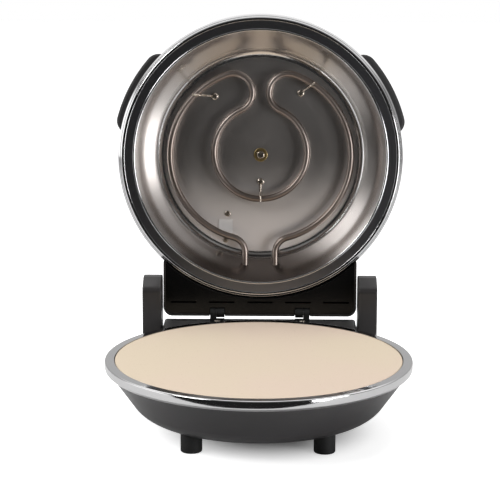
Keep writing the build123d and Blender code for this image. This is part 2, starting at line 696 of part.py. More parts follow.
def rear_housing():
    box = base_box(0, HOUSING_BOTTOM) - base_room(SEAT_CLEAR)
    room = base_box(BOX_WALL, HOUSING_BOTTOM - OVERRUN) - base_room(SEAT_CLEAR + BOX_WALL)
    box -= room
    low = HOUSING_BOTTOM + BOX_WALL
    for x, y in both_sides(BASE_BOSSES):
        box += column(x, y, low, BASE_BOX_TOP - BOX_WALL)
        box -= Pos(x, y, low) * Cylinder(SCREW_R, 2 * BOSS_DEPTH)
    for cutter in slots(BASE_BOX_BACK - BASE_SLOT_BACK, BASE_SLOT_W, BASE_BOX_TOP, 3 * BOX_WALL):
        box -= cutter
    for place in housing_screw_frames(RIM_Z, -1):
        box -= drill(place, SCREW_R, HOUSING_SCREW_L)
    box -= leg_holes(LOWER_TUBE_Z, LEG_HOLE_FROM, BASE_BOX_BACK - 2 * BOX_WALL, FERRULE_R + FIT)
    for x, y in both_sides(ARM_SCREWS):
        box -= Pos(x, y, SHOULDER_Z) * Cylinder(SCREW_R, 3 * BOX_WALL)
    for side in (-1, 1):
        box -= Pos(side * KNUCKLE_X, LUG_SCREW_Y, BASE_BOX_TOP) * Cylinder(SCREW_R, 3 * BOX_WALL)
    return box - inlet_space(0)


def rear_base_plate():
    high = HOUSING_BOTTOM + BOX_WALL
    inset = BOX_WALL + FIT
    level = slab(-ARM_OUT, ARM_OUT, 0, BASE_BOX_BACK, HOUSING_BOTTOM, high)
    plate = (base_box(inset, HOUSING_BOTTOM) & level) - base_room(SEAT_CLEAR + inset)
    for x, y in both_sides(BASE_BOSSES):
        plate -= Pos(x, y, HOUSING_BOTTOM) * Cylinder(SCREW_R, 3 * BOX_WALL)
    for side in (-1, 1):
        plate -= Pos(side * REAR_FOOT_X, REAR_FOOT_Y, HOUSING_BOTTOM) * Cylinder(SCREW_R, 3 * BOX_WALL)
    return plate


def arm():
    """Right arm: an upright cheek with a sloping top, hollow between its two screw bosses."""
    outline = [
        (ARM_FRONT, SHOULDER_Z),
        (ARM_FRONT, RIM_Z + ARM_BROW),
        (ARM_FRONT + ARM_CREST, RIM_Z + ARM_TOP),
        (BASE_BOX_BACK, RIM_Z + ARM_TOP),
        (BASE_BOX_BACK, SHOULDER_Z),
    ]
    face = make_face(Polyline(*outline, close=True))
    top = face.vertices().group_by(Axis.Y)
    face = fillet(top[-1] + top[-2], ARM_ROUND)
    body = Pos(ARM_IN, 0, 0) * extrude(Plane.YZ * face, ARM_OUT - ARM_IN)
    sides = body.faces().filter_by(Axis.X)
    body = fillet(sides.edges() - body.faces().sort_by(Axis.Z)[0].edges(), ARM_EDGE)
    body -= slab(ARM_IN + BOX_WALL, ARM_OUT - BOX_WALL, ARM_FRONT + ARM_SOLID, BASE_BOX_BACK - ARM_SOLID,
                 SHOULDER_Z, RIM_Z + ARM_BROW - BOX_WALL)
    for x, y in ARM_SCREWS:
        body -= Pos(x, y, SHOULDER_Z) * Cylinder(SCREW_R, 2 * ARM_SCREW_DEPTH)
    return body


def arm_screws():
    up = Rot(180, 0, 0)
    return [Pos(x, y, SHOULDER_Z - BOX_WALL) * up * screw(BOX_WALL + ARM_SCREW_DEPTH)
            for x, y in both_sides(ARM_SCREWS)]


def barrel(x_from, x_to, radius):
    """A round bar on the hinge axis."""
    return Pos((x_from + x_to) / 2, HINGE_Y, HINGE_Z) * Rot(0, 90, 0) * Cylinder(radius, x_to - x_from)


def hinge_lug():
    """Right knuckle's fixed half, on a foot screwed to the box."""
    inner = KNUCKLE_X - KNUCKLE_W / 2
    outer = KNUCKLE_X + KNUCKLE_W / 2
    split = inner + LID_HALF_W + KNUCKLE_GAP
    back = HINGE_Y + KNUCKLE_R
    sole = slab(inner, outer, LUG_FRONT, back, BASE_BOX_TOP, BASE_BOX_TOP + LUG_SOLE)
    sole = fillet(upright_edges(sole, True), LUG_CORNER)
    stem = slab(split, outer, HINGE_Y - KNUCKLE_R, back, BASE_BOX_TOP, HINGE_Z)
    lug = sole + stem + barrel(split, outer, KNUCKLE_R)
    lug -= Pos(KNUCKLE_X, LUG_SCREW_Y, BASE_BOX_TOP) * Cylinder(SCREW_R, 3 * LUG_SOLE)
    return lug - barrel(split - OVERRUN, outer + OVERRUN, PIN_R)


def hinge_pin():
    return barrel(KNUCKLE_X - KNUCKLE_W / 2, KNUCKLE_X + KNUCKLE_W / 2, PIN_R)


def lug_screws():
    head = BASE_BOX_TOP + LUG_SOLE
    return [Pos(side * KNUCKLE_X, LUG_SCREW_Y, head) * screw(LUG_SOLE + BOX_WALL + SCREW_OUT)
            for side in (-1, 1)]


# ---------------------------------------------------------------- base: mains inlet and wiring
def inlet_space(grow):
    """The inlet's body through the back wall."""
    half_w = INLET_W / 2 + grow
    half_h = INLET_H / 2 + grow
    return slab(INLET_X - half_w, INLET_X + half_w, BASE_BOX_BACK - INLET_DEEP, BASE_BOX_BACK,
                INLET_Z - half_h, INLET_Z + half_h)


def mains_inlet():
    """Three-pin appliance inlet: a cup with a flange outside the wall."""
    half_w = INLET_W / 2 + INLET_FLANGE
    half_h = INLET_H / 2 + INLET_FLANGE
    back = BASE_BOX_BACK
    flange = slab(INLET_X - half_w, INLET_X + half_w, back, back + INLET_LIP,
                  INLET_Z - half_h, INLET_Z + half_h)
    flange = fillet(flange.edges().filter_by(Axis.Y), INLET_FLANGE)
    cup = slab(INLET_X - INLET_W / 2 + INLET_WALL, INLET_X + INLET_W / 2 - INLET_WALL,
               back - INLET_DEEP + INLET_WALL * 2, back + INLET_LIP,
               INLET_Z - INLET_H / 2 + INLET_WALL, INLET_Z + INLET_H / 2 - INLET_WALL)
    cup = chamfer(cup.edges().filter_by(Axis.Y).sort_by(Axis.Z)[-2:], INLET_KEY)
    return inlet_space(0) + flange - cup


def inlet_pins():
    """Live, neutral and the longer, raised earth pin."""
    root = BASE_BOX_BACK - INLET_DEEP + INLET_WALL * 2
    places = [(-INLET_PITCH, -INLET_DROP, 0), (INLET_PITCH, -INLET_DROP, 0), (0, INLET_DROP, INLET_EARTH)]
    pins = []
    for x, z, extra in places:
        pin = slab(INLET_X + x - INLET_PIN_W / 2, INLET_X + x + INLET_PIN_W / 2, root,
                   root + INLET_PIN_L + extra, INLET_Z + z - INLET_PIN_T / 2, INLET_Z + z + INLET_PIN_T / 2)
        pins.append(chamfer(pin.faces().sort_by(Axis.Y)[-1].edges(), INLET_PIN_W / 4))
    return pins


def terminal_block(x, y, low):
    """Ceramic block with a row of screw wells in its top."""
    block = slab(x - BLOCK_L / 2, x + BLOCK_L / 2, y - BLOCK_W / 2, y + BLOCK_W / 2, low, low + BLOCK_H)
    block = fillet(block.edges().filter_by(Axis.Z), BLOCK_ROUND)
    for i in range(BLOCK_WELLS):
        well_x = x + (i - (BLOCK_WELLS - 1) / 2) * BLOCK_L / BLOCK_WELLS
        block -= Pos(well_x, y - BLOCK_W / 4, low + BLOCK_H) * Cylinder(BLOCK_WELL_R, BLOCK_H)
    return block


def lead(*points):
    """Insulated wire along straight runs with rounded corners."""
    path = FilletPolyline(*points, radius=LEAD_BEND)
    start = Vector(*points[0])
    way = Vector(*points[1]) - start
    return sweep(Plane(origin=start, z_dir=way) * Circle(LEAD_R), path=path)


def base_leads():
    """Leads from the inlet to the block, and from the block to the element's legs."""
    low = HOUSING_BOTTOM + BOX_WALL
    inlet_back = BASE_BOX_BACK - INLET_DEEP
    leads = []
    for i in range(3):
        x = INLET_X + (i - 1) * INLET_PITCH
        y = BASE_BLOCK_Y + (i - 1) * LEAD_STEP
        z = low + BLOCK_H / 2 + (i - 1) * LEAD_STEP
        leads.append(lead((x, inlet_back, INLET_Z), (x, y, INLET_Z), (x, y, z), (-BLOCK_L / 2, y, z)))
    leg_end = wall_y(BASE_DEPTH) + LEG_OUT
    for side in (-1, 1):
        x = side * LEG_X
        y = BASE_BLOCK_Y + BLOCK_W / 4
        leads.append(lead((x, leg_end, LOWER_TUBE_Z), (x, y, LOWER_TUBE_Z), (x, y, low + BLOCK_H)))
    return leads


# ---------------------------------------------------------------- lid, laid out closed
def lid_trim_ring():
    top = LID_RIM
    points = [
        (RIM_R - BEVEL_W - BEAD_W, top),
        (RIM_R - BEVEL_W, top),
        (RIM_R, top + BEVEL_H),
        (RIM_R, top + BEVEL_H + BEVEL_BAND),
        (RIM_R - BAND_TUCK, top + BAND_H),
    ]
    ring = pressed(points, [BEVEL_ROUND, BEVEL_ROUND, BAND_CURL], TRIM_T)
    inner_edge = ring.edges().group_by(Axis.Z)[0].sort_by(SortBy.RADIUS)[0]
    return fillet(inner_edge, BEAD_ROUND)


def lid_reflector():
    face = LID_RIM + TRIM_T
    lip_z = face - LIP_RISE
    wall_r = FLANGE_IN - LIP_W
    roll = LIP_W / 3
    fall = (REFLECTOR_FLOOR - lip_z) * tan(radians(REFLECTOR_SLOPE))
    points = [
        (SHELL_R, face),
        (FLANGE_IN, face),
        (FLANGE_IN - roll, lip_z),
        (wall_r, lip_z),
        (wall_r - fall, REFLECTOR_FLOOR),
        (0, REFLECTOR_FLOOR),
    ]
    radii = [LIP_ROUND, LIP_ROUND, roll, REFLECTOR_KNEE]
    liner = pressed(points, radii, -LINER_T)
    liner -= leg_holes(UPPER_TUBE_Z, LEG_HOLE_FROM, SHELL_R, TUBE_R + HOLE_CLEAR)
    liner -= Pos(0, 0, REFLECTOR_FLOOR) * Cylinder(POST_SCREW_R, 6 * LINER_T)
    for hole in screw_holes(upper_clip_places(), REFLECTOR_FLOOR):
        liner -= hole
    for x, y in CUTOUT_SCREWS:
        liner -= Pos(x, y, REFLECTOR_FLOOR) * Cylinder(SCREW_R, 6 * LINER_T)
    return liner


def lid_dome():
    dome = dish(LID_RIM, 1)
    dome -= leg_holes(UPPER_TUBE_Z, LEG_HOLE_FROM, LID_BOX_BACK, FERRULE_R)
    for place in housing_screw_frames(LID_RIM, 1) + grip_screw_frames():
        dome -= drill(place, SCREW_R, 3 * SHELL_T)
    return dome


def centre_washer():
    low = REFLECTOR_FLOOR - WASHER_T
    disc = Cylinder(WASHER_R, WASHER_T) - Cylinder(POST_SCREW_R, WASHER_T)
    washer = Pos(0, 0, low + WASHER_T / 2) * disc
    return fillet(washer.edges().group_by(Axis.Z)[0].sort_by(SortBy.RADIUS)[-1], WASHER_ROUND)


def centre_screw():
    turned_over = Pos(0, 0, REFLECTOR_FLOOR - WASHER_T) * Rot(180, 0, 0)
    return turned_over * screw(WASHER_T + LINER_T + POST_BORE, POST_HEAD_R, POST_HEAD_H, POST_SCREW_R)


def cutout_plate():
    x, y = CUTOUT_MID
    half = CUTOUT_PLATE / 2
    plate = slab(x - half, x + half, y - half, y + half, REFLECTOR_FLOOR - CUTOUT_PLATE_T, REFLECTOR_FLOOR)
    return fillet(plate.edges().filter_by(Axis.Z), CUTOUT_PLATE_T)


def cutout_screws():
    down = Rot(180, 0, 0) * screw(CLIP_SCREW_L)
    return [Pos(x, y, REFLECTOR_FLOOR) * down for x, y in CUTOUT_SCREWS]


def thermal_cutout():
    """Disc limiter on a strap, behind the liner."""
    x, y = CUTOUT_MID
    back = REFLECTOR_FLOOR + LINER_T
    ends = [place[1] for place in CUTOUT_SCREWS]
    strap = slab(x - CUTOUT_STRAP / 2, x + CUTOUT_STRAP / 2, min(ends) - CUTOUT_STRAP / 2,
                 max(ends) + CUTOUT_STRAP / 2, back, back + LINER_T)
    strap = fillet(strap.edges().filter_by(Axis.Z), CUTOUT_STRAP_ROUND)
    body = Pos(x, y, back + LINER_T + CUTOUT_H / 2) * Cylinder(CUTOUT_R, CUTOUT_H)
    shape = strap + body
    for hole_x, hole_y in CUTOUT_SCREWS:
        shape -= Pos(hole_x, hole_y, back) * Cylinder(SCREW_R, 6 * LINER_T)
    return shape


# ---------------------------------------------------------------- lid: box, hinge halves and grips
def lid_room(grow):
    """Space kept for the dome and its ring."""
    high = LID_RIM + BAND_H + RING_CLEAR + grow
    return shell_space(LID_RIM, 1, grow) + ring_space(RIM_Z - BAND_H, high, RING_CLEAR + grow)


def lid_box(inset, low):
    """The block behind the dome, drawn in by a wall."""
    x = LID_BOX_X - inset
    block = slab(-x, x, LID_BOX_FRONT + inset, LID_BOX_BACK - inset, low, BOX_TOP_Z - inset)
    block = fillet(upright_edges(block, False), BOX_CORNER - inset)
    block = fillet(upright_edges(block, True), BOX_CORNER - inset)
    if inset == 0:
        block = fillet(block.edges().group_by(Axis.Z)[-1], BOX_ROUND)
    return block


def plate_blank(inset, low, high, ring_gap):
    """The outline of the lid's cover plate as a slab."""
    level = slab(-LID_BOX_X, LID_BOX_X, 0, LID_BOX_BACK, low, high)
    return (lid_box(inset, low) & level) - ring_space(RIM_Z - BAND_H, RIM_Z + BAND_H, ring_gap)


def knuckle_room():
    """Notches that let both halves of the knuckles turn."""
    half = KNUCKLE_W / 2 + KNUCKLE_AIR
    right = slab(KNUCKLE_X - half, KNUCKLE_X + half, HINGE_Y - KNUCKLE_R - KNUCKLE_AIR,
                 LID_BOX_BACK + OVERRUN, BOX_LOW_Z - OVERRUN, HINGE_Z + KNUCKLE_R + NOTCH_RISE)
    return right + mirrored(right)


def lid_housing():
    box = lid_box(0, BOX_LOW_Z) - lid_room(SEAT_CLEAR)
    room = lid_box(BOX_WALL, BOX_LOW_Z - OVERRUN) - lid_room(SEAT_CLEAR + BOX_WALL)
    box -= room
    plate_top = BOX_LOW_Z + PLATE_SET + BOX_WALL
    box -= plate_blank(BOX_WALL, BOX_LOW_Z - OVERRUN, plate_top, RING_CLEAR + SEAT_CLEAR)
    for x, y in both_sides(LID_BOSSES):
        box += column(x, y, plate_top, BOX_TOP_Z - BOX_WALL)
        box -= Pos(x, y, plate_top) * Cylinder(SCREW_R, 2 * BOSS_DEPTH)
    for place in housing_screw_frames(LID_RIM, 1):
        box -= drill(place, SCREW_R, HOUSING_SCREW_L)
    box -= leg_holes(UPPER_TUBE_Z, LEG_HOLE_FROM, LID_BOX_BACK - 2 * BOX_WALL, FERRULE_R + FIT)
    for x, z in lug_screw_places():
        box -= Pos(x, LID_BOX_BACK, z) * Rot(90, 0, 0) * Cylinder(SCREW_R, 3 * BOX_WALL)
    box -= Pos(0, KNOB_Y, BOX_TOP_Z) * Cylinder(BUSHING_R, 3 * BOX_WALL)
    for side in (-1, 1):
        box -= Pos(side * LAMP_X, KNOB_Y, BOX_TOP_Z) * Cylinder(LAMP_R, 3 * BOX_WALL)
    return box - knuckle_room()


def lid_plate():
    low = BOX_LOW_Z + PLATE_SET
    plate = plate_blank(BOX_WALL + FIT, low, low + BOX_WALL, RING_CLEAR + SEAT_CLEAR + FIT)
    for cutter in slots(LID_SLOT_Y, SLOT_W, low, 3 * BOX_WALL):
        plate -= cutter
    for x, y in both_sides(LID_BOSSES):
        plate += Pos(x, y, low + BOX_WALL) * Cylinder(SCREW_R, 2 * PEG_H)
    return plate - knuckle_room() - slab(-LID_BOX_X, LID_BOX_X, 0, LID_BOX_BACK, low - PEG_H, low)


def lid_lug():
    """Right knuckle's moving half, on a web screwed inside the box's back wall."""
    inner = KNUCKLE_X - KNUCKLE_W / 2
    split = inner + LID_HALF_W
    wall = LID_BOX_BACK - BOX_WALL
    web = slab(inner, split, wall - LUG_WEB, wall, HINGE_Z, HINGE_Z + LUG_WEB_H)
    lug = web + barrel(inner, split, KNUCKLE_R)
    lug -= barrel(inner - OVERRUN, split + OVERRUN, PIN_R + PIN_RUN)
    for x, z in lug_screw_places():
        if x > 0:
            lug -= Pos(x, wall, z) * Rot(90, 0, 0) * Cylinder(SCREW_R, 2 * LUG_WEB)
    return lug


def lug_screw_places():
    x = KNUCKLE_X - KNUCKLE_W / 2 + LID_HALF_W / 2
    high = HINGE_Z + LUG_WEB_H - 2 * HEAD_R
    return [(side * x, high - row * LUG_SCREW_STEP) for side in (-1, 1) for row in (0, 1)]


def lid_lug_screws():
    inward = Rot(-90, 0, 0) * screw(BOX_WALL + LUG_WEB - OVERRUN)
    return [Pos(x, LID_BOX_BACK, z) * inward for x, z in lug_screw_places()]


def housing_screws(rim_z, up):
    return [place.location * screw(HOUSING_SCREW_L) for place in housing_screw_frames(rim_z, up)]


def grip_screw_frames():
    """Where the grips are screwed on from inside the dome: two for each."""
    middle = (GRIP_FROM + GRIP_TO) / 2
    frames = []
    for step in (-GRIP_SCREW_STEP, GRIP_SCREW_STEP):
        for angle in (middle + step, degrees(pi) - middle - step):
            frames.append(on_dish(LID_RIM, 1, angle, GRIP_SCREW_DEPTH))
    return frames


def handle():
    """Right grip: a crescent behind the lid's ring, cut to the dome."""
    low = LID_RIM + BAND_H + GRIP_GAP
    start = loop_point((0, 0), GRIP_R, GRIP_FROM)
    end = loop_point((0, 0), GRIP_R, GRIP_TO)
    inner_start = loop_point((0, 0), GRIP_ROOT, GRIP_FROM)
    inner_end = loop_point((0, 0), GRIP_ROOT, GRIP_TO)
    outline = [
        arc_about((0, 0), start, end, clockwise=True),
        Line(end, inner_end),
        Line(inner_end, inner_start),
        Line(inner_start, start),
    ]
    face = make_face([piece.edge() for piece in outline])
    corners = face.vertices().sort_by(lambda vertex: -hypot(vertex.X, vertex.Y))[:2]
    face = fillet(corners, GRIP_CORNER)
    body = Pos(0, 0, low) * extrude(face, GRIP_H)
    levels = body.edges().group_by(Axis.Z)
    outer = [edge for edge in levels[0] + levels[-1]
             if max(hypot(v.X, v.Y) for v in edge.vertices()) > GRIP_ROOT + OVERRUN]
    body = fillet(outer, GRIP_EDGE)
    body -= lid_room(SEAT_CLEAR)
    for place in grip_screw_frames():
        body -= drill(place, SCREW_R, GRIP_SCREW_L)
    return body


def grip_screws():
    return [place.location * screw(GRIP_SCREW_L) for place in grip_screw_frames()]


# ---------------------------------------------------------------- lid: controls and wiring
def thermostat_body():
    """Thermostat case hung by its bushing under the box's top wall."""
    under = BOX_TOP_Z - BOX_WALL
    case = slab(-CASE_X, CASE_X, KNOB_Y - CASE_Y, KNOB_Y + CASE_Y, under - CASE_H, under)
    case = fillet(case.edges().filter_by(Axis.Z), BLOCK_ROUND)
    bushing = Pos(0, KNOB_Y, under + BOX_WALL / 2) * Cylinder(BUSHING_R, BOX_WALL)
    bore = Pos(0, KNOB_Y, under) * Cylinder(SHAFT_R + PIN_RUN, 4 * CASE_H)
    return case + bushing - bore


def thermostat_shaft():
    low = BOX_TOP_Z - BOX_WALL - CASE_H / 2
    high = BOX_TOP_Z + KNOB_LIFT + SHAFT_REACH
    return Pos(0, KNOB_Y, (low + high) / 2) * Cylinder(SHAFT_R, high - low)


def thermostat_knob():
    """Round knob with a skirt, finger flutes and a raised pointer."""
    low = BOX_TOP_Z + KNOB_LIFT
    skirt = Pos(0, KNOB_Y, low + SKIRT_H / 2) * Cylinder(KNOB_R, SKIRT_H)
    grip = Pos(0, KNOB_Y, low + KNOB_H / 2) * Cylinder(KNOB_R - SKIRT_STEP, KNOB_H)
    grip = fillet(grip.edges().group_by(Axis.Z)[-1], KNOB_ROUND)
    for i in range(FLUTES):
        turn = radians(360.0 * (i + 0.5) / FLUTES)
        place = Pos(KNOB_R * cos(turn), KNOB_Y + KNOB_R * sin(turn), low + SKIRT_H + KNOB_H / 2)
        grip -= place * Cylinder(FLUTE_R, KNOB_H)
    knob = skirt + grip
    pointer = slab(-POINTER_W / 2, POINTER_W / 2, KNOB_Y - KNOB_R + SKIRT_STEP + POINTER_IN, KNOB_Y,
                   low + KNOB_H - POINTER_W, low + KNOB_H + POINTER_RISE)
    knob += pointer
    return knob - Pos(0, KNOB_Y, low) * Cylinder(SHAFT_R, 2 * SHAFT_REACH)


def lamp(side):
    """Lamp lens pushed through the box's top wall."""
    low = BOX_TOP_Z - LAMP_BODY
    high = BOX_TOP_Z + LAMP_PROUD
    lens = Pos(side * LAMP_X, KNOB_Y, (low + high) / 2) * Cylinder(LAMP_R, high - low)
    return fillet(lens.edges().group_by(Axis.Z)[-1], LAMP_ROUND)


def lid_leads():
    """Leads from the upper element's legs to the block on the cover plate."""
    leg_end = wall_y(LID_DEPTH) + LEG_OUT
    top = BOX_LOW_Z + PLATE_SET + BOX_WALL + BLOCK_H
    y = LID_BLOCK_Y + BLOCK_W / 4
    low_run = top + LEAD_BEND + LEAD_R
    near = LID_BLOCK_X - BLOCK_L / 4
    far = LID_BLOCK_X + BLOCK_L / 4
    high_run = UPPER_TUBE_Z
    right = lead((LEG_X, leg_end, high_run), (LEG_X, y, high_run), (far, y, high_run), (far, y, top))
    left = lead((-LEG_X, leg_end, high_run), (-LEG_X, y, high_run), (-LEG_X, y, low_run),
                (near, y, low_run), (near, y, top))
    return [right, left]


def opened(shape):
    """A piece of the closed lid, swung open about the hinge."""
    return shape.rotate(HINGE_AXIS, -LID_OPEN)


# ---------------------------------------------------------------- the pieces
def base_pieces():
    plate_top = HOUSING_BOTTOM + BOX_WALL
    leg_end = wall_y(BASE_DEPTH) + LEG_OUT
    pan_bolt = screw(LINER_T + POST_BORE, POST_HEAD_R, POST_HEAD_H, POST_SCREW_R)
    plate_screw = Rot(180, 0, 0) * screw(BOX_WALL + BOSS_DEPTH)
    plate_screws = [Pos(x, y, HOUSING_BOTTOM) * plate_screw for x, y in both_sides(BASE_BOSSES)]
    return {
        "baking_stone": baking_stone(),
        "base_trim_ring": base_trim_ring(),
        "base_bowl": base_bowl(),
        "base_pan": base_pan(),
        "pan_spacer": post(BOWL_BOTTOM + SHELL_T, PAN_FLOOR - LINER_T, True),
        "pan_screw": Pos(0, 0, PAN_FLOOR) * pan_bolt,
        "lower_element": tube(lower_half(leg_end), LOWER_TUBE_Z, leg_end),
        "lower_ferrules": group(ferrules(LOWER_TUBE_Z, BASE_DEPTH)),
        "lower_clips": group(clips(lower_clip_places(), PAN_FLOOR, LOWER_TUBE_Z)),
        "lower_clip_screws": group(clip_screws(lower_clip_places(), PAN_FLOOR, 1)),
        "rear_housing": rear_housing(),
        "rear_base_plate": rear_base_plate(),
        "base_plate_screws": group(plate_screws),
        "base_housing_screws": group(housing_screws(RIM_Z, -1)),
        "arm_left": mirrored(arm()),
        "arm_right": arm(),
        "arm_screws": group(arm_screws()),
        "hinge_lug_left": mirrored(hinge_lug()),
        "hinge_lug_right": hinge_lug(),
        "hinge_pin_left": mirrored(hinge_pin()),
        "hinge_pin_right": hinge_pin(),
        "lug_screws": group(lug_screws()),
        "foot_front_left": front_foot(-1),
        "foot_front_right": front_foot(1),
        "foot_rear_left": rear_foot(-1),
        "foot_rear_right": rear_foot(1),
        "foot_screws": group(foot_screws()),
        "mains_inlet": mains_inlet(),
        "inlet_pins": group(inlet_pins()),
        "base_terminal_block": terminal_block(0, BASE_BLOCK_Y, plate_top),
        "base_leads": group(base_leads()),
    }


def lid_pieces():
    leg_end = wall_y(LID_DEPTH) + LEG_OUT
    return {
        "lid_trim_ring": lid_trim_ring(),
        "lid_reflector": lid_reflector(),
        "lid_dome": lid_dome(),
        "dome_spacer": post(REFLECTOR_FLOOR + LINER_T, DOME_TOP - SHELL_T, False),
        "centre_washer": centre_washer(),
        "centre_screw": centre_screw(),
        "upper_element": tube(upper_half(leg_end), UPPER_TUBE_Z, leg_end),
        "upper_ferrules": group(ferrules(UPPER_TUBE_Z, LID_DEPTH)),
        "upper_clips": group(clips(upper_clip_places(), REFLECTOR_FLOOR, UPPER_TUBE_Z)),
        "upper_clip_screws": group(clip_screws(upper_clip_places(), REFLECTOR_FLOOR, -1)),
        "cutout_plate": cutout_plate(),
        "cutout_screws": group(cutout_screws()),
        "thermal_cutout": thermal_cutout(),
        "lid_housing": lid_housing(),
        "lid_plate": lid_plate(),
        "lid_housing_screws": group(housing_screws(LID_RIM, 1)),
        "lid_lug_left": mirrored(lid_lug()),
        "lid_lug_right": lid_lug(),
        "lid_lug_screws": group(lid_lug_screws()),
        "handle_left": mirrored(handle()),
        "handle_right": handle(),
        "handle_screws": group(grip_screws()),
        "thermostat_body": thermostat_body(),
        "thermostat_shaft": thermostat_shaft(),
        "thermostat_knob": thermostat_knob(),
        "lamp_red": lamp(-1),
        "lamp_green": lamp(1),
        "lid_terminal_block": terminal_block(LID_BLOCK_X, LID_BLOCK_Y, BOX_LOW_Z + PLATE_SET + BOX_WALL),
        "lid_leads": group(lid_leads()),
    }


for name, piece in base_pieces().items():
    export_step(piece, f"parts/{name}.step")

for name, piece in lid_pieces().items():
    export_step(opened(piece), f"parts/{name}.step")
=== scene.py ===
import json
import math

import bmesh
import bpy
from mathutils import Matrix, Vector

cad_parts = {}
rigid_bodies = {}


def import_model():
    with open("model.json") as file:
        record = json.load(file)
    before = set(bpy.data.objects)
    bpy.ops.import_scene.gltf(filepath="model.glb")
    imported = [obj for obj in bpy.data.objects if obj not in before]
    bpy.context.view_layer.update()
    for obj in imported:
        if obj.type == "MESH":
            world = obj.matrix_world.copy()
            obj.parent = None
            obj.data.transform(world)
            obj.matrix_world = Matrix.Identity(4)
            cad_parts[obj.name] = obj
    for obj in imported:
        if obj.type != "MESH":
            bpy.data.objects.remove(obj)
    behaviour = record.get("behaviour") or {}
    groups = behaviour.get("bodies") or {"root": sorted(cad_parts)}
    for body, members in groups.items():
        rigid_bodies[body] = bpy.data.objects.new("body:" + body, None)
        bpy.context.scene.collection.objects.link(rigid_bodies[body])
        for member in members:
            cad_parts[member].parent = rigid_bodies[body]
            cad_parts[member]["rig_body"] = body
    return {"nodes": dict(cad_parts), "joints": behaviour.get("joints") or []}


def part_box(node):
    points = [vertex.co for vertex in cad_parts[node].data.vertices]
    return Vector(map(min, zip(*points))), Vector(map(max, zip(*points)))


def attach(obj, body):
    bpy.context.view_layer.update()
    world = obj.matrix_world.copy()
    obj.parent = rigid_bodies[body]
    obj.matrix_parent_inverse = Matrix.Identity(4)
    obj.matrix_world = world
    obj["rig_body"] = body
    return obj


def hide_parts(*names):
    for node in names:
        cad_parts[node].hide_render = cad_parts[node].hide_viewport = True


for leftover in list(bpy.data.objects):
    bpy.data.objects.remove(leftover)

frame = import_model()
bpy.context.view_layer.update()

# ---------------------------------------------------------------- measures
MM = 0.001
HINGE = next(joint for joint in frame["joints"] if joint["name"] == "lid_hinge")
PIVOT = Vector(HINGE["pos_m"])
SHUT_TURN = Matrix.Rotation(math.radians(-HINGE["range_deg"][0]), 4, "X")
TO_SHUT = Matrix.Translation(PIVOT) @ SHUT_TURN @ Matrix.Translation(-PIVOT)
TO_OPEN = TO_SHUT.inverted()

# Rings and liner, with the lid shut
RING_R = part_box("base_trim_ring")[1].x
RIM_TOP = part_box("base_trim_ring")[1].z
SHUT_GAP = 0.8 * MM          # between the two rings
LID_RIM = RIM_TOP + SHUT_GAP
FLANGE_IN = 146.5 * MM       # inner edge of the liner's flat flange
LIP_R = 145.2 * MM           # middle of the rolled lip inside the flange
FLOOR_R = 113.5 * MM         # the liner's flat floor
FLANGE_FADE = 0.3 * MM       # over which one finish of the liner passes into the next
FLOOR_FADE = 1.0 * MM

# Outlines of the bright rings, rolled from sheet
RING_SHEET = 1.0 * MM
RING_HEIGHT = 11.3 * MM      # with its curled edge
CURL_IN = 3.4 * MM           # how far the curled edge turns in
CURL_BEND = 2.2 * MM
TOP_WIDTH = 10.0 * MM        # flat top of the base's ring
TOP_BEND = 1.6 * MM
BASE_BAND = 8.4 * MM         # from its top to the start of the curl
BEAD_IN = 7.5 * MM           # the lid's ring starts in a bead this far inside its edge
BEAD_BEND = 0.7 * MM
BEVEL_WIDTH = 4.5 * MM
BEVEL_HEIGHT = 4.2 * MM
BEVEL_BEND = 1.5 * MM
LID_BAND = 7.2 * MM          # from its rim to the start of the curl
BACK_IN = 5.5 * MM           # how far in the back of its sheet is drawn
GROOVE_IN = 2.6 * MM         # the groove in the bevel, from the ring's edge
GROOVE_HALF = 0.3 * MM
GROOVE_DEPTH = 0.25 * MM
GROOVE_LIP_BEND = 0.08 * MM
GROOVE_FOOT_BEND = 0.06 * MM

# The bright roll of the liner's lip
LIP_HALF = 1.2 * MM
LIP_RISE = 0.62 * MM
LIP_SEAT = 0.5 * MM          # its edges lie this far above the rim of the shut lid
LIP_STEPS = 16

# The camera, as the photograph was taken
CAMERA_AT = (0.011, -1.8815, 0.5934)
CAMERA_PITCH = 11.975        # degrees below level
CAMERA_YAW = 0.626           # degrees to the left
CAMERA_ROLL = 0.156          # degrees
LENS = 132.2                 # focal length and sensor in millimetres
SENSOR = 36.0


def tone(red, green, blue):
    """A display colour, 0 to 255, as the linear colour that a shader takes."""
    def linear(level):
        share = level / 255
        return share / 12.92 if share <= 0.04045 else ((share + 0.055) / 1.055) ** 2.4
    return (linear(red), linear(green), linear(blue), 1.0)


# ---------------------------------------------------------------- shader writing
class Value:
    """What changes over a surface. Arithmetic on it adds its Math nodes."""

    def __init__(self, sheet, socket):
        self.sheet = sheet
        self.socket = socket

    def maths(self, operation, first, second):
        return self.sheet.add("ShaderNodeMath", {"operation": operation}, {0: first, 1: second})

    def __add__(self, other):
        return self.maths("ADD", self, other)

    def __sub__(self, other):
        return self.maths("SUBTRACT", self, other)

    def __rsub__(self, other):
        return self.maths("SUBTRACT", other, self)

    def __mul__(self, other):
        return self.maths("MULTIPLY", self, other)

    def __pow__(self, other):
        return self.maths("POWER", self, other)

    __radd__ = __add__
    __rmul__ = __mul__


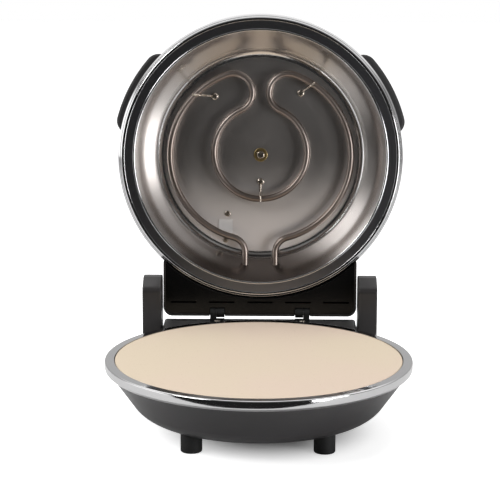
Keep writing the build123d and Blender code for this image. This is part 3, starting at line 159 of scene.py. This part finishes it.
class Sheet:
    """A node tree, and the one way that nodes are added to it."""

    def __init__(self, tree):
        self.nodes = tree.nodes
        self.links = tree.links

    def add(self, kind, settings=None, inputs=None, output=0):
        node = self.nodes.new(kind)
        for name, value in (settings or {}).items():
            setattr(node, name, value)
        self.feed(node, inputs or {})
        if isinstance(output, tuple):
            return [Value(self, node.outputs[name]) for name in output]
        return Value(self, node.outputs[output])

    def feed(self, node, inputs):
        for name, value in inputs.items():
            if isinstance(value, Value):
                self.links.new(value.socket, node.inputs[name])
            else:
                node.inputs[name].default_value = value

    def larger(self, first, second):
        return self.add("ShaderNodeMath", {"operation": "MAXIMUM"}, {0: first, 1: second})

    def between(self, value, low, high):
        """0 before low, 1 past high, and smooth in between. Low may be the larger of the two."""
        return self.add("ShaderNodeMapRange", {"interpolation_type": "SMOOTHSTEP"},
                        {"Value": value, "From Min": low, "From Max": high})


class Finish(Sheet):
    """A material with its fixed sockets set, ready for a pattern."""

    def __init__(self, name, fixed=None):
        self.material = bpy.data.materials.new(name)
        self.material.use_nodes = True
        super().__init__(self.material.node_tree)
        self.shader = self.nodes["Principled BSDF"]
        self.feed(self.shader, fixed or {})

    def place(self):
        return self.add("ShaderNodeTexCoord", output="Object")

    def shut_place(self):
        """Where a lid piece's point lies when the lid is shut."""
        turn, _, _ = TO_SHUT.to_euler()
        shut = {"Vector": self.place(), "Location": TO_SHUT.translation, "Rotation": (turn, 0, 0)}
        return self.add("ShaderNodeMapping", {"vector_type": "POINT"}, shut)

    def noise(self, at, scale, detail=2.0, roughness=0.5):
        return self.add("ShaderNodeTexNoise", None,
                        {"Vector": at, "Scale": scale, "Detail": detail, "Roughness": roughness}, "Fac")

    def round_place(self, at, round_turns, sheet_turns):
        """Coordinates for marks that run round the Z axis: slow round it and quick across them."""
        x, y, z = self.add("ShaderNodeSeparateXYZ", None, {0: at}, ("X", "Y", "Z"))
        radius = (x * x + y * y) ** 0.5
        turn = self.add("ShaderNodeMath", {"operation": "ARCTAN2"}, {0: y, 1: x})
        lines = self.add("ShaderNodeCombineXYZ", None,
                         {"X": radius * sheet_turns, "Y": turn * round_turns, "Z": z * sheet_turns})
        return radius, lines

    def mix(self, share, first, second):
        return self.add("ShaderNodeMix", {"data_type": "RGBA"}, {0: share, 6: first, 7: second}, 2)

    def relief(self, height, depth):
        return self.add("ShaderNodeBump", None, {"Height": height, "Distance": depth, "Strength": 1.0})

    def show(self, sockets):
        self.feed(self.shader, sockets)
        return self.material


# ---------------------------------------------------------------- finishes
WEAVE = 5200.0               # how closely the braid's strands cross


def fired_stone():
    """Cream cordierite: very even, with fine grit and a faint warm and cool drift."""
    finish = Finish("fired_stone", {"Specular IOR Level": 0.25})
    at = finish.place()
    drift = finish.noise(at, 5.0, 2.0)
    grit = finish.noise(at, 1400.0, 3.0, 0.7)
    pits = finish.between(finish.noise(at, 520.0, 1.0), 0.68, 0.78)
    warm = finish.mix(finish.between(drift, 0.35, 0.65), tone(228, 212, 189), tone(229, 209, 191))
    speckled = finish.mix(finish.between(grit, 0.35, 0.75) * 0.22, warm, tone(218, 198, 172))
    return finish.show({
        "Base Color": finish.mix(pits * 0.3, speckled, tone(188, 164, 136)),
        "Roughness": 0.74 + grit * 0.16,
        "Normal": finish.relief(grit - pits * 0.8, 0.01 * MM),
    })


def polished_ring(on_lid):
    """Bright rolled steel ring, mirror smooth, with faint drawing lines round it."""
    finish = Finish("polished_ring_lid" if on_lid else "polished_ring_base", {"Metallic": 1.0})
    at = finish.shut_place() if on_lid else finish.place()
    _, lines = finish.round_place(at, 1.2, 1500.0)
    drawn = finish.noise(lines, 1.0, 2.0)
    smear = finish.noise(at, 24.0, 3.0, 0.6)
    return finish.show({
        "Base Color": finish.mix(smear, tone(201, 201, 202), tone(209, 208, 208)),
        "Roughness": 0.05 + finish.between(smear, 0.45, 0.8) * 0.07 + drawn * 0.03,
        "Normal": finish.relief(drawn, 0.002 * MM),
    })


def spun_liner(on_lid):
    """Spun liner of the lid or the base: a darker satin flange, a shiny wall with painted shade beside the
    hinge, and a soft floor with painted shade that darkens it away from the hinge, where it is also
    shinier."""
    finish = Finish("spun_liner_lid" if on_lid else "spun_liner_base", {"Metallic": 1.0})
    at = finish.shut_place() if on_lid else finish.place()
    radius, lines = finish.round_place(at, 0.9, 900.0)
    spun = finish.noise(lines, 1.0, 3.0, 0.6)
    cloud = finish.noise(at, 9.0, 3.0, 0.55)
    smear = finish.noise(at, 40.0, 4.0, 0.6)
    flange = finish.between(radius, FLANGE_IN - FLANGE_FADE, FLANGE_IN)
    floor = 1 - finish.between(radius, FLOOR_R - FLOOR_FADE, FLOOR_R + FLOOR_FADE)
    steel = finish.mix(cloud, tone(218, 217, 216), tone(226, 225, 224))
    _, to_hinge, _ = finish.add("ShaderNodeSeparateXYZ", None, {0: at}, ("X", "Y", "Z"))
    # Painted shade: the floor's colour is darkened away from the hinge, and the same mask makes it shinier
    # there.
    painted_floor_shade = finish.between(to_hinge, 1.05 * FLOOR_R, -0.05 * FLOOR_R) + cloud * 0.3 - 0.15
    satin = finish.mix(painted_floor_shade, tone(226, 220, 217), tone(203, 198, 195))
    # Painted shade: the wall beside the hinge is darkened to a brown grey, and the same mask roughens it
    # slightly.
    painted_wall_shade = finish.between(to_hinge, 0.66 * FLANGE_IN, 0.86 * FLANGE_IN) * 0.85
    wall = finish.mix(painted_wall_shade, steel, tone(98, 88, 82))
    tinted = finish.mix(floor, wall, satin)
    dulled = painted_wall_shade * 0.07 + floor * (0.45 - painted_floor_shade * 0.33)
    handled = finish.between(smear, 0.5, 0.8) * 0.04 + spun * 0.03
    return finish.show({
        "Base Color": finish.mix(flange, tinted, tone(138, 138, 142)),
        "Roughness": (0.17 + dulled + handled) * (1 - flange) + flange * 0.28,
        "Normal": finish.relief(spun * (1 - flange), 0.006 * MM),
    })


def shell_paint():
    """Dark satin stoving paint over pressed steel, with a faint orange peel."""
    finish = Finish("shell_paint_satin", {"Coat Roughness": 0.25, "Specular IOR Level": 0.45})
    at = finish.place()
    peel = finish.noise(at, 420.0, 2.0)
    drift = finish.noise(at, 14.0, 3.0)
    return finish.show({
        "Base Color": finish.mix(drift, tone(44, 42, 43), tone(50, 48, 49)),
        "Roughness": 0.36 + finish.between(drift, 0.4, 0.7) * 0.06,
        "Coat Weight": 0.16 + drift * 0.05,
        "Normal": finish.relief(peel, 0.02 * MM),
    })


def heater_sheath():
    """Sheath of the heating tube: steel turned brown by its first heat."""
    finish = Finish("heater_sheath", {"Metallic": 1.0})
    at = finish.place()
    bands = finish.noise(at, 16.0, 3.0)
    grain = finish.noise(at, 900.0, 2.0)
    return finish.show({
        "Base Color": finish.mix(finish.between(bands, 0.3, 0.7), tone(136, 124, 117), tone(154, 143, 137)),
        "Roughness": 0.31 + grain * 0.10,
        "Normal": finish.relief(grain, 0.01 * MM),
    })


def plated(name, low, high, roughness):
    """Plated or plain metal of small parts, its colour drifting between low and high."""
    finish = Finish(name, {"Metallic": 1.0})
    at = finish.place()
    drift = finish.noise(at, 120.0, 2.0)
    grain = finish.noise(at, 1600.0, 2.0)
    return finish.show({
        "Base Color": finish.mix(drift, low, high),
        "Roughness": roughness + grain * 0.10,
        "Normal": finish.relief(grain, 0.006 * MM),
    })


def satin_plate():
    """Satin aluminium of the cut-out's cover plate, dulled white by handling."""
    finish = Finish("satin_plate", {"Metallic": 0.3, "Specular IOR Level": 0.6})
    at = finish.place()
    drift = finish.noise(at, 90.0, 2.0)
    grain = finish.noise(at, 1500.0, 2.0)
    return finish.show({
        "Base Color": finish.mix(drift, tone(214, 210, 208), tone(228, 225, 223)),
        "Roughness": 0.42 + grain * 0.12,
        "Normal": finish.relief(grain, 0.01 * MM),
    })


def moulded(name, low, high, roughness, grain_scale, grain_depth):
    """Moulded plastic or rubber with a spark-eroded grain."""
    finish = Finish(name, {"Specular IOR Level": 0.45})
    at = finish.place()
    drift = finish.noise(at, 22.0, 3.0)
    grain = finish.noise(at, grain_scale, 3.0, 0.6)
    rubbed = finish.between(finish.noise(at, 60.0, 4.0, 0.6), 0.55, 0.8)
    return finish.show({
        "Base Color": finish.mix(drift, low, high),
        "Roughness": roughness + grain * 0.12 - rubbed * 0.05,
        "Normal": finish.relief(grain, grain_depth),
    })


def glossy_plate():
    """Glossy black moulding of the lid's plate, with a very slight flow pattern."""
    finish = Finish("glossy_plate", {"Specular IOR Level": 0.22})
    at = finish.place()
    flow = finish.noise(at, 18.0, 2.0)
    dust = finish.between(finish.noise(at, 700.0, 2.0), 0.7, 0.8)
    return finish.show({
        "Base Color": finish.mix(dust * 0.2, tone(12, 12, 12), tone(48, 48, 48)),
        "Roughness": 0.12 + finish.between(flow, 0.4, 0.7) * 0.05 + dust * 0.2,
        "Normal": finish.relief(flow, 0.08 * MM),
    })


def glazed_ceramic():
    """White steatite of the ferrules and terminal blocks."""
    finish = Finish("glazed_ceramic")
    at = finish.place()
    drift = finish.noise(at, 80.0, 3.0)
    grain = finish.noise(at, 1200.0, 2.0)
    return finish.show({
        "Base Color": finish.mix(drift, tone(226, 221, 210), tone(236, 232, 224)),
        "Roughness": 0.38 + grain * 0.15,
        "Normal": finish.relief(grain, 0.02 * MM),
    })


def lamp_lens(name, dark, bright):
    """Coloured lens, mottled from one colour to the other by the ribs behind it."""
    finish = Finish(name, {"Coat Weight": 0.6})
    at = finish.place()
    ribs = finish.noise(at, 420.0, 1.0)
    return finish.show({
        "Base Color": finish.mix(finish.between(ribs, 0.3, 0.7), dark, bright),
        "Roughness": 0.07 + ribs * 0.05,
        "Normal": finish.relief(ribs, 0.01 * MM),
    })


def braided_sleeve():
    """Glass braid over the leads: a fine over-and-under weave."""
    finish = Finish("braided_sleeve", {"Specular IOR Level": 0.3})
    at = finish.place()
    x, y, z = finish.add("ShaderNodeSeparateXYZ", None, {0: at}, ("X", "Y", "Z"))
    over = finish.add("ShaderNodeMath", {"operation": "SINE"}, {0: (x + y + z) * WEAVE})
    under = finish.add("ShaderNodeMath", {"operation": "SINE"}, {0: (x + y - z) * WEAVE})
    weave = over * under
    return finish.show({
        "Base Color": finish.mix(finish.between(weave, -0.6, 0.8), tone(150, 62, 46), tone(186, 88, 66)),
        "Roughness": 0.72 - weave * 0.06,
        "Normal": finish.relief(weave, 0.06 * MM),
    })


def paint_frame_parts():
    """Gives every part of the frame its finish, by the name of its material slot. The rings and the
    liners have one each for the base and the lid, because their marks run round another axis, and
    the rings' two are handed back for the turned pieces."""
    finishes = {
        "stone": fired_stone(),
        "shell_paint": shell_paint(),
        "sheath": heater_sheath(),
        "bright_wire": plated("clip_wire_warm", tone(186, 174, 160), tone(206, 196, 184), 0.22),
        "brass": plated("washer_brass", tone(182, 158, 108), tone(200, 176, 126), 0.26),
        "steel": plated("plain_steel", tone(168, 166, 163), tone(184, 182, 180), 0.30),
        "ferrule": glazed_ceramic(),
        "black_plastic": moulded("grip_plastic", tone(46, 45, 46), tone(52, 51, 52),
                                 0.52, 900.0, 0.06 * MM),
        "box_plastic": moulded("box_plastic_grained", tone(43, 41, 41), tone(48, 46, 46),
                               0.27, 1100.0, 0.04 * MM),
        "knob_plastic": moulded("knob_plastic_satin", tone(33, 33, 34), tone(39, 39, 40),
                                0.36, 1400.0, 0.02 * MM),
        "hinge_plastic": moulded("hinge_plastic_black", tone(9, 9, 9), tone(13, 13, 12),
                                 0.50, 1300.0, 0.03 * MM),
        "bright_plate": satin_plate(),
        "foot_rubber": moulded("foot_rubber_matt", tone(15, 15, 15), tone(20, 20, 20),
                               0.60, 1000.0, 0.06 * MM),
        "gloss_black": glossy_plate(),
        "red_lens": lamp_lens("lens_red", tone(120, 14, 12), tone(190, 34, 26)),
        "green_lens": lamp_lens("lens_green", tone(16, 92, 30), tone(40, 150, 58)),
        "lead_sleeve": braided_sleeve(),
    }
    round_finishes = {
        "ring_steel": {True: polished_ring(True), False: polished_ring(False)},
        "liner_steel": {True: spun_liner(True), False: spun_liner(False)},
    }
    for node in frame["nodes"].values():
        slot = node.material_slots[0].material.name
        if slot in round_finishes:
            on_lid = node["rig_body"] == "lid"
            node.material_slots[0].material = round_finishes[slot][on_lid]
        else:
            node.material_slots[0].material = finishes[slot]
    return round_finishes["ring_steel"]


# ---------------------------------------------------------------- turned pieces
TURNS = 480                  # steps round a turned piece
BEND_STEPS = 6               # steps round a bend of its outline
CREASE = math.radians(40)    # edges that turn by more than this stay crisp


def mesh_piece(name, build, material):
    """An object from a function that fills a bmesh."""
    shape = bmesh.new()
    build(shape)
    mesh = bpy.data.meshes.new(name)
    shape.to_mesh(mesh)
    shape.free()
    piece = bpy.data.objects.new(name, mesh)
    bpy.context.scene.collection.objects.link(piece)
    mesh.materials.append(material)
    return piece


def bent(points, radii):
    """An outline of (radius, height) points with its inner corners rounded."""
    line = [Vector(points[0])]
    for before, corner, after, radius in zip(points, points[1:], points[2:], radii):
        corner = Vector(corner)
        into = (Vector(before) - corner).normalized()
        away = (Vector(after) - corner).normalized()
        half = into.angle(away) / 2
        centre = corner + (into + away).normalized() * radius / math.sin(half)
        start = corner + into * radius / math.tan(half) - centre
        end = corner + away * radius / math.tan(half) - centre
        first = math.atan2(start.y, start.x)
        sweep = (math.atan2(end.y, end.x) - first + math.pi) % (2 * math.pi) - math.pi
        for step in range(BEND_STEPS + 1):
            turn = first + sweep * step / BEND_STEPS
            line.append(centre + Vector((math.cos(turn), math.sin(turn))) * radius)
    line.append(Vector(points[-1]))
    return line


def backed(line, thickness):
    """Closed outline of a sheet whose seen side is line; its thickness lies to the left of its run."""
    back = []
    for before, point, after in zip([line[0]] + line, line, line[1:] + [line[-1]]):
        run = (after - before).normalized()
        back.append(point + Vector((-run.y, run.x)) * thickness)
    return line + back[::-1]


def turned(name, outline, material, on_lid):
    """A piece spun from its closed outline, which is drawn with the lid shut."""
    def build(shape):
        rings = []
        for step in range(TURNS):
            turn = 2 * math.pi * step / TURNS
            x, y = math.cos(turn), math.sin(turn)
            rings.append([shape.verts.new((p.x * x, p.x * y, p.y)) for p in outline])
        for ring, other in zip(rings, rings[1:] + rings[:1]):
            for i in range(len(outline)):
                j = (i + 1) % len(outline)
                shape.faces.new((ring[i], other[i], other[j], ring[j]))
        bmesh.ops.recalc_face_normals(shape, faces=shape.faces)
        if on_lid:
            bmesh.ops.transform(shape, matrix=TO_OPEN, verts=shape.verts)
    piece = mesh_piece(name, build, material)
    piece.data.shade_smooth()
    piece.data.set_sharp_from_angle(angle=CREASE)
    return piece


def base_ring(finish):
    """The bright ring round the stone: flat top, upright band, curled lower edge."""
    points = [
        (RING_R - TOP_WIDTH, RIM_TOP),
        (RING_R, RIM_TOP),
        (RING_R, RIM_TOP - BASE_BAND),
        (RING_R - CURL_IN, RIM_TOP - RING_HEIGHT),
    ]
    line = bent(points, [TOP_BEND, CURL_BEND])
    piece = turned("base_ring_turned", backed(line, -RING_SHEET), finish, on_lid=False)
    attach(piece, "base")
    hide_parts("base_trim_ring")


def lid_ring(finish):
    """The lid's ring: a rounded bead, a bevel with a fine groove turned in it, and a curled band."""
    slope = BEVEL_HEIGHT / BEVEL_WIDTH
    groove_r = RING_R - GROOVE_IN
    groove_z = LID_RIM + (groove_r - RING_R + BEVEL_WIDTH) * slope
    points = [
        (RING_R - BEAD_IN, LID_RIM + RING_SHEET),
        (RING_R - BEAD_IN, LID_RIM),
        (RING_R - BEVEL_WIDTH, LID_RIM),
        (groove_r - GROOVE_HALF, groove_z - GROOVE_HALF * slope),
        (groove_r, groove_z + GROOVE_DEPTH),
        (groove_r + GROOVE_HALF, groove_z + GROOVE_HALF * slope),
        (RING_R, LID_RIM + BEVEL_HEIGHT),
        (RING_R, LID_RIM + LID_BAND),
        (RING_R - CURL_IN, LID_RIM + RING_HEIGHT),
    ]
    groove_bends = [GROOVE_LIP_BEND, GROOVE_FOOT_BEND, GROOVE_LIP_BEND]
    line = bent(points, [BEAD_BEND, BEVEL_BEND, *groove_bends, BEVEL_BEND, CURL_BEND])
    back = [point for point in backed(line, RING_SHEET)[len(line):] if point.x > RING_R - BACK_IN]
    piece = turned("lid_ring_turned", line + back, finish, on_lid=True)
    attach(piece, "lid")
    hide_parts("lid_trim_ring")


def lip_bead(finish):
    """The polished roll of the liner's lip, seated on the pressed lip."""
    outline = []
    for step in range(LIP_STEPS + 1):
        turn = math.pi * step / LIP_STEPS
        radius = LIP_R + LIP_HALF * math.cos(turn)
        outline.append(Vector((radius, LID_RIM + LIP_SEAT - LIP_RISE * math.sin(turn))))
    piece = turned("liner_lip_bead", outline, finish, on_lid=True)
    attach(piece, "lid")


# ---------------------------------------------------------------- studio
FLOOR_FRONT = -0.337         # the table ends in front of the cooker, its edge a little askew
FLOOR_SKEW = 0.106
FLOOR_BACK = 5.0
FLOOR_SIDE = 4.0
SHADOW_CORE = 0.05           # radii between which the shadow under the bowl fades
SHADOW_EDGE = 0.125
SHADOW_ASIDE = 0.012         # it lies a little to the right
SHADOW_GLOW = 0.06           # light added for the camera alone, in the shadow's core
TABLE_GLOW = 0.7             # and how much more of it there is outside the shadow

# How light each part of the studio is, and between which directions it fades in
LEFT_WALL = 1.8
RIGHT_WALL = 0.36
SIDE_EDGE = (0.86, 0.96)
BACK_WALL = 0.55
BACK_EDGE = (-0.25, 0.15)
BACK_TOP = 0.9               # more light on the back wall, higher up
BACK_TOP_EDGE = (0.40, 0.70)
WINDOWS = 0.30               # a band of windows high up, all round
WINDOW_SILL = (0.40, 0.50)
WINDOW_HEAD = (0.75, 0.65)
CEILING = 1.0
CEILING_EDGE = (0.965, 0.99)
DARK_ROOM = 0.02             # the rest of the room, unlit

BLACK = (0, 0, 0, 1)
WHITE = (1, 1, 1, 1)


def table_finish():
    """White table top. The camera sees it brighter than it is lit, apart from the bowl's shadow."""
    finish = Finish("table_white", {"Specular IOR Level": 0.2, "Emission Strength": 1.0})
    at = finish.place()
    fibre = finish.noise(at, 300.0, 2.0)
    x, y, _ = finish.add("ShaderNodeSeparateXYZ", None, {0: at}, ("X", "Y", "Z"))
    aside = x - SHADOW_ASIDE
    clear = finish.between((aside * aside + y * y) ** 0.5, SHADOW_CORE, SHADOW_EDGE)
    camera_ray = finish.add("ShaderNodeLightPath", output="Is Camera Ray")
    return finish.show({
        "Base Color": finish.mix(fibre, tone(244, 244, 244), tone(248, 248, 248)),
        "Roughness": 0.85 + fibre * 0.1,
        "Emission Color": finish.mix(camera_ray * (SHADOW_GLOW + clear * TABLE_GLOW), BLACK, WHITE),
    })


def table():
    def build(shape):
        skew = FLOOR_SIDE * FLOOR_SKEW
        corners = [
            (-FLOOR_SIDE, FLOOR_FRONT + skew),
            (FLOOR_SIDE, FLOOR_FRONT - skew),
            (FLOOR_SIDE, FLOOR_BACK),
            (-FLOOR_SIDE, FLOOR_BACK),
        ]
        shape.faces.new([shape.verts.new((x, y, 0)) for x, y in corners])
    mesh_piece("table", build, table_finish())


def room():
    """The studio, plain white to the camera. The pieces are lit by its walls and ceiling, and their
    reflections also show the lighter top of the back wall and the windows."""
    world = bpy.data.worlds.new("room")
    bpy.context.scene.world = world
    world.use_nodes = True
    sheet = Sheet(world.node_tree)
    toward = sheet.add("ShaderNodeTexCoord", output="Generated")
    x, y, z = sheet.add("ShaderNodeSeparateXYZ", None, {0: toward}, ("X", "Y", "Z"))
    camera_ray, glossy = sheet.add("ShaderNodeLightPath", output=("Is Camera Ray", "Is Glossy Ray"))
    right = sheet.between(x, *SIDE_EDGE) * RIGHT_WALL
    left = sheet.between(x, -SIDE_EDGE[0], -SIDE_EDGE[1]) * LEFT_WALL
    back_top = glossy * sheet.between(z, *BACK_TOP_EDGE) * BACK_TOP
    back = sheet.between(y, *BACK_EDGE) * (BACK_WALL + back_top)
    windows = glossy * sheet.between(z, *WINDOW_SILL) * sheet.between(z, *WINDOW_HEAD) * WINDOWS
    ceiling = sheet.between(z, *CEILING_EDGE) * CEILING
    walls = sheet.larger(sheet.larger(right, left), back)
    lit = sheet.larger(walls, sheet.larger(ceiling, windows))
    strength = sheet.larger(lit + DARK_ROOM, camera_ray)
    sheet.feed(world.node_tree.nodes["Background"], {"Color": WHITE, "Strength": strength})


def softbox(name, at, aim, width, height, watts, in_metal=True):
    data = bpy.data.lights.new(name, "AREA")
    data.shape = "RECTANGLE"
    data.size = width
    data.size_y = height
    data.energy = watts
    lamp = bpy.data.objects.new(name, data)
    bpy.context.scene.collection.objects.link(lamp)
    lamp.location = at
    lamp.visible_glossy = in_metal
    lamp.rotation_mode = "QUATERNION"
    lamp.rotation_quaternion = (Vector(aim) - Vector(at)).to_track_quat("-Z", "Y")


def camera():
    data = bpy.data.cameras.new("photo_camera")
    data.lens = LENS
    data.sensor_width = SENSOR
    eye = bpy.data.objects.new("photo_camera", data)
    bpy.context.scene.collection.objects.link(eye)
    pitch = Matrix.Rotation(math.radians(90 - CAMERA_PITCH), 4, "X")
    yaw = Matrix.Rotation(math.radians(CAMERA_YAW), 4, "Z")
    roll = Matrix.Rotation(math.radians(CAMERA_ROLL), 4, "Z")
    eye.matrix_world = Matrix.Translation(CAMERA_AT) @ yaw @ pitch @ roll
    bpy.context.scene.camera = eye


ring_finishes = paint_frame_parts()
base_ring(ring_finishes[False])
lid_ring(ring_finishes[True])
lip_bead(ring_finishes[True])
table()
room()
softbox("overhead_softbox", at=(0.0, 0.25, 1.9), aim=(0.0, 0.0, 0.1),
        width=1.6, height=1.2, watts=18.2, in_metal=False)
softbox("left_softbox", at=(-1.40, -0.95, 1.45), aim=(0.0, 0.1, 0.2),
        width=0.8, height=0.8, watts=15.0)
softbox("right_softbox", at=(1.45, -1.15, 0.20), aim=(0.0, 0.1, 0.2),
        width=0.9, height=1.0, watts=19.0)
camera()
bpy.context.scene.view_settings.view_transform = "Standard"

bpy.context.view_layer.update()
